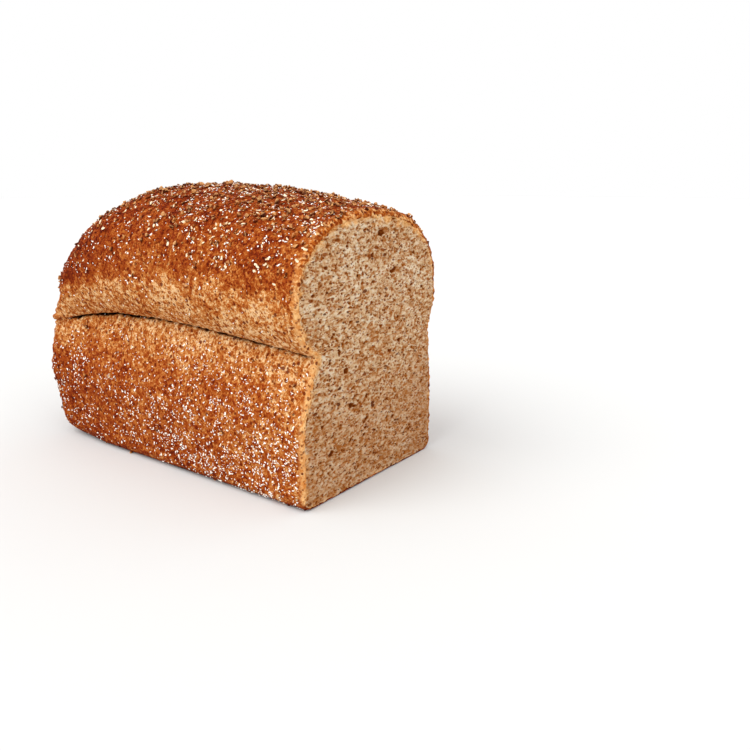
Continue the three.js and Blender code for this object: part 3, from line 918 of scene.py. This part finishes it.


# Crumb: the gas in the dough left a soft, open foam. Its cut walls are pale and matt, and the
# bubbles are painted orange-brown and darker the deeper they go, as painted shade. Bran shows in it as
# specks.
def openCrumb():
    material, tree = newMaterial("openWholemealCrumb")
    place = addNode(tree, "TexCoord").outputs["Object"]
    place = addNode(tree, "Mapping", {"Vector": place, "Scale": crumbValues["stretch"]})
    depth, edge, shadeAndBrowning = (addNode(tree, "Attribute", attribute_name=name).outputs["Fac"]
                         for name in ("depth", "edge", "shadeAndBrowning"))
    broad, fine = (addNode(tree, "TexNoise", {
        "Vector": place, "Scale": patternScale(size), "Detail": 3, "Roughness": 0.65, "Distortion": bend,
    }).outputs["Fac"] for size, bend in ((14, 0), (2, 1)))
    grain = addNode(tree, "TexNoise", {
        "Vector": place, "Scale": patternScale(1.3), "Detail": 1}).outputs["Fac"]
    tone = addNode(tree, "Math", {0: broad, 1: 0.3}, operation="MULTIPLY")
    # painted shade: the crumb is darker where it lies deeper
    for part, strength in ((fine, 0.6), (grain, 0.5), (depth, -0.22)):
        tone = addNode(tree, "Math", {0: part, 1: strength, 2: tone}, operation="MULTIPLY_ADD")
    color = addNode(tree, "ValToRGB", {"Fac": tone}, stops=crumbTones["wall"])
    # painted shade: darker towards the base and the lower far side, partly a browner crumb low down
    color = addNode(tree, "Mix", {
        0: shadeAndBrowning, 6: color, 7: linearColor(crumbTones["shadeAndBrowning"])}, data_type="RGBA").outputs[2]
    # painted shade in the pores, darker and browner the deeper they go
    shadeDepth = addNode(tree, "Math", {0: fine, 1: -0.6, 2: depth}, operation="MULTIPLY_ADD")
    poreShade = addNode(tree, "MapRange", {
        "Value": shadeDepth, "From Min": 0, "From Max": 0.4, "To Max": 0.95})
    poreShadeColor = addNode(tree, "ValToRGB", {"Fac": depth}, stops=crumbTones["pore"])
    color = addNode(tree, "Mix", {0: poreShade, 6: color, 7: poreShadeColor}, data_type="RGBA").outputs[2]

    # specks of bran, half a millimetre to one wide
    for speck in crumbTones["specks"]:
        shown, drawn = speckPattern(tree, place, *speck)
        speckColor = addNode(tree, "ValToRGB", {"Fac": drawn}, stops=crumbTones["speck"])
        color = addNode(tree, "Mix", {0: shown, 6: color, 7: speckColor}, data_type="RGBA").outputs[2]

    # the crumb is golden where it meets the crust
    edgeTone = addNode(tree, "ValToRGB", {"Fac": fine}, stops=crumbTones["edge"])
    color = addNode(tree, "Mix", {0: edge, 6: color, 7: edgeTone}, data_type="RGBA").outputs[2]

    foam = addNode(tree, "TexNoise", {
        "Vector": place, "Scale": patternScale(1.1), "Detail": 2, "Distortion": 0.5}).outputs["Fac"]
    foam = addNode(tree, "Math", {0: fine, 1: 1.5, 2: foam}, operation="MULTIPLY_ADD")
    bump = addNode(tree, "Bump", {"Height": foam, "Strength": 0.9, "Distance": 0.7 * mm})
    shader = addNode(tree, "BsdfPrincipled", {
        "Base Color": color, "Roughness": 0.9, "Specular IOR Level": 0.0, "Normal": bump,
        "Subsurface Weight": 0.15, "Subsurface Scale": 0.6 * mm, "Subsurface Radius": (1, 0.6, 0.35)})
    addNode(tree, "OutputMaterial", {"Surface": shader})
    return material


grainTones = {
    # each top colour is partly starch or flour showing and partly a painted highlight
    "toastedBran": {
        "body": [(0, "#431606"), (0.45, "#66270b"), (0.8, "#8b4315"), (1, "#ac682c")],
        "top": "#cf9a64", "paleTopsAndHighlights": 0.12, "roughness": 0.6,
    },
    "toastedOatFlake": {
        "body": [(0, "#a0682f"), (0.4, "#c99a62"), (1, "#e4c99c")],
        "top": "#f2e4c8", "paleTopsAndHighlights": 0.4, "roughness": 0.7,
    },
    "groundWheatMeal": {
        "body": [(0, "#cfa67c"), (0.3, "#e8d3b8"), (1, "#f6ece0")],
        "top": "#fdf9f2", "paleTopsAndHighlights": 0.9, "roughness": 0.85,
    },
}


# Bran and meal: chips of husk and grain, toasted on the crust. Dull, darkest underneath, with
# paler tops: partly the starch showing, partly painted shade below and a painted highlight on top.
def toastedGrain(name):
    tones = grainTones[name]
    material, tree = newMaterial(name)
    place = addNode(tree, "TexCoord").outputs["Object"]
    tone, tip = (addNode(tree, "Attribute", attribute_name=value).outputs["Fac"] for value in ("tone", "tip"))
    mottle = addNode(tree, "TexNoise", {
        "Vector": place, "Scale": patternScale(0.8), "Detail": 3}).outputs["Fac"]
    mixed = addNode(tree, "Math", {0: mottle, 1: 0.7, 2: tone}, operation="MULTIPLY_ADD")
    mixed = addNode(tree, "Math", {0: mixed, 1: 0.35}, operation="SUBTRACT")
    color = addNode(tree, "ValToRGB", {"Fac": mixed}, stops=tones["body"])
    # painted highlight, with the pale starch: the upper part of each piece turns towards the top colour
    top = addNode(tree, "Math", {
        0: mixed, 1: tones["paleTopsAndHighlights"], 2: tip}, operation="MULTIPLY_ADD")
    topAndHighlightShare = addNode(tree, "MapRange", {
        "Value": top, "From Min": 0.75, "From Max": 1.05, "To Max": 0.9})
    color = addNode(tree, "Mix", {
        0: topAndHighlightShare, 6: color, 7: linearColor(tones["top"])}, data_type="RGBA").outputs[2]
    bump = addNode(tree, "Bump", {"Height": mottle, "Strength": 0.6, "Distance": 0.25 * mm})
    shader = addNode(tree, "BsdfPrincipled", {
        "Base Color": color, "Roughness": tones["roughness"], "Specular IOR Level": 0.05, "Normal": bump})
    addNode(tree, "OutputMaterial", {"Surface": shader})
    return material


bakeValues = {
    "band": 0.21,  # the pale band over the crease, on the scale of crustTones
    "bandTop": (25, 15),  # its height over the crease, at the cut and at the far end
    "crown": 0.29, "crest": 0.12,  # added over the band, and once more up to the crest
    # foot darkens the lowest part of the walls: partly a deeper bake, partly painted shade
    "wall": (0.22, 0.26), "foot": 0.05,  # added down the walls, near the cut and away from it
    # darker at the far end, most on the crown and low down: partly a deeper bake, partly painted shade
    "farEndBakeAndShade": 0.14,
    "base": 0.3,  # added at the bottom edge where it stood on the tin, partly a deeper bake and partly painted shade
    "cutPale": 0.05,  # taken off under the crease near the cut
    "crownStart": (22, 44),  # where the rim at the cut turns darker
    "rimWidth": (2.8, 5.0),  # how far back the golden rim shows, low and on the crown
    "rimStrength": 1.5,
}


# How far the crust is baked, with painted shade low down and at the far end, from 0 for the palest to 1 for
# the darkest, and where its rim shows
def bakeCrust():
    local = (readPoints(crust) - cutPlace) / mm
    rise = readValues(crust, "rise")
    fromCut = readValues(crust, "fromCut")
    ragged = rise + 3.5 * softNoise(local, 9, 51) + 1.8 * softNoise(local, 3, 52)
    far = smooth(90, 190, fromCut)
    bandTop = blend(*bakeValues["bandTop"], smooth(60, 180, fromCut))
    crown = smooth(-5, 6, ragged - bandTop)
    wall = blend(*bakeValues["wall"], smooth(20, 90, fromCut))
    bake = bakeValues["band"] + crown * (
        bakeValues["crown"] + bakeValues["crest"] * smooth(0, 40, rise - bandTop))
    # darker low down, at the far end and at the bottom edge: partly a deeper bake, partly painted shade
    bake += wall * smooth(-2, -32, ragged) + bakeValues["foot"] * smooth(-35, -68, rise)
    bake += far * bakeValues["farEndBakeAndShade"] * (0.3 + 1.2 * crown + 0.75 * smooth(-4, -26, rise))
    bake += bakeValues["base"] * smooth(4, 0.5, local[:, 2])
    bake -= bakeValues["cutPale"] * smooth(45, 5, fromCut) * smooth(0, -4, rise)
    onCrown = smooth(*bakeValues["crownStart"], rise)
    width = blend(*bakeValues["rimWidth"], onCrown)
    bare = smooth(1, 7, local[:, 2]) * blend(1, 0.3, smooth(30, 48, local[:, 1]))
    writeValues(crust, "bake", bake)
    writeValues(crust, "crown", onCrown)
    writeValues(crust, "rim", bakeValues["rimStrength"] * bare * np.clip(1 - fromCut / width, 0, 1))


crumbEdgeAndShadeValues = {
    "edgeReach": (5.2, 7.0),  # how far in from the crust the crumb is golden, low and on the crown
    "edgeStrength": 0.9,
    "low": 0.36,  # painted shade and a browner crumb, darker towards the base
    # painted shade on the lower far side of the cut face
    "farSide": 0.2,
}


# Where the crumb is golden next to the crust, and the painted shade that darkens it towards the base and the
# lower far side
def crumbEdgeAndShade():
    local = (readPoints(crumb) - cutPlace) / mm
    y, z = local[:, 1], local[:, 2]
    inset = readValues(crumb, "inset")
    reach = blend(*crumbEdgeAndShadeValues["edgeReach"], smooth(85, 125, z)) * (1 + 0.5 * softNoise(local, 3, 61))
    writeValues(crumb, "edge", (1 - smooth(0.35, 1, inset / reach)) * crumbEdgeAndShadeValues["edgeStrength"])
    shadeAndBrowning = crumbEdgeAndShadeValues["low"] * smooth(80, 15, z)
    shadeAndBrowning += crumbEdgeAndShadeValues["farSide"] * smooth(20, 50, y) * smooth(90, 40, z)
    writeValues(crumb, "shadeAndBrowning", shadeAndBrowning)


bakeCrust()
crumbEdgeAndShade()
pieces = [
    (crust, bakedCrust(), "crust"),
    (crumb, openCrumb(), "crumb"),
    (chips, toastedGrain("toastedBran"), "bran"),
    (flakes, toastedGrain("toastedOatFlake"), "flour"),
    (meal, toastedGrain("groundWheatMeal"), "flour"),
]
for piece, material, slotName in pieces:
    piece.data.materials.append(material)
    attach(piece, "root")
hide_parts("loaf")
print("materials made")

# Stage: a pale floor as far as the eye sees, soft light from the upper left and a weaker fill

stageValues = {
    "floor": 4,  # radius in metres
    "floorColor": "#d8d8d7",
    "sky": 1.0,
    # direction towards each light, strength and how wide it is in degrees
    "key": ((-0.25, -0.68, 0.85), 1.7, 50),
    "fill": ((0.85, -0.35, 0.4), 0.8, 70),
}


def makeStage():
    deselectAll()
    bpy.ops.mesh.primitive_circle_add(vertices=96, radius=stageValues["floor"], fill_type="NGON")
    floor = bpy.context.object
    floor.name = "floor"
    material, tree = newMaterial("mattePaperFloor")
    shader = addNode(tree, "BsdfPrincipled", {
        "Base Color": linearColor(stageValues["floorColor"]), "Roughness": 0.9, "Specular IOR Level": 0.1})
    addNode(tree, "OutputMaterial", {"Surface": shader})
    floor.data.materials.append(material)

    world = bpy.data.worlds.new("softBox")
    world.use_nodes = True
    background = world.node_tree.nodes["Background"]
    background.inputs["Color"].default_value = (1, 1, 1, 1)
    background.inputs["Strength"].default_value = stageValues["sky"]
    bpy.context.scene.world = world
    for name in ("key", "fill"):
        towards, strength, width = stageValues[name]
        bpy.ops.object.light_add(type="SUN")
        lamp = bpy.context.object
        lamp.name = name + "Light"
        lamp.data.energy = strength
        lamp.data.angle = math.radians(width)
        lamp.rotation_mode = "QUATERNION"
        lamp.rotation_quaternion = Vector(towards).to_track_quat("Z", "Y")


makeStage()
bpy.context.scene.view_settings.view_transform = "Standard"

# Camera: a little over the loaf's height and to the left of its cut face
cameraValues = {
    "place": (205.05, -280.89, 148.17),
    "looking": (-0.567, 0.7803, -0.264),
    "lens": 35.96,
}
bpy.ops.object.camera_add()
camera = bpy.context.object
camera.data.sensor_width = 36
camera.data.lens = cameraValues["lens"]
camera.location = Vector(toPlace(np.array(cameraValues["place"])))
camera.rotation_mode = "QUATERNION"
camera.rotation_quaternion = Vector(cameraValues["looking"]).to_track_quat("-Z", "Y")
bpy.context.scene.camera = camera
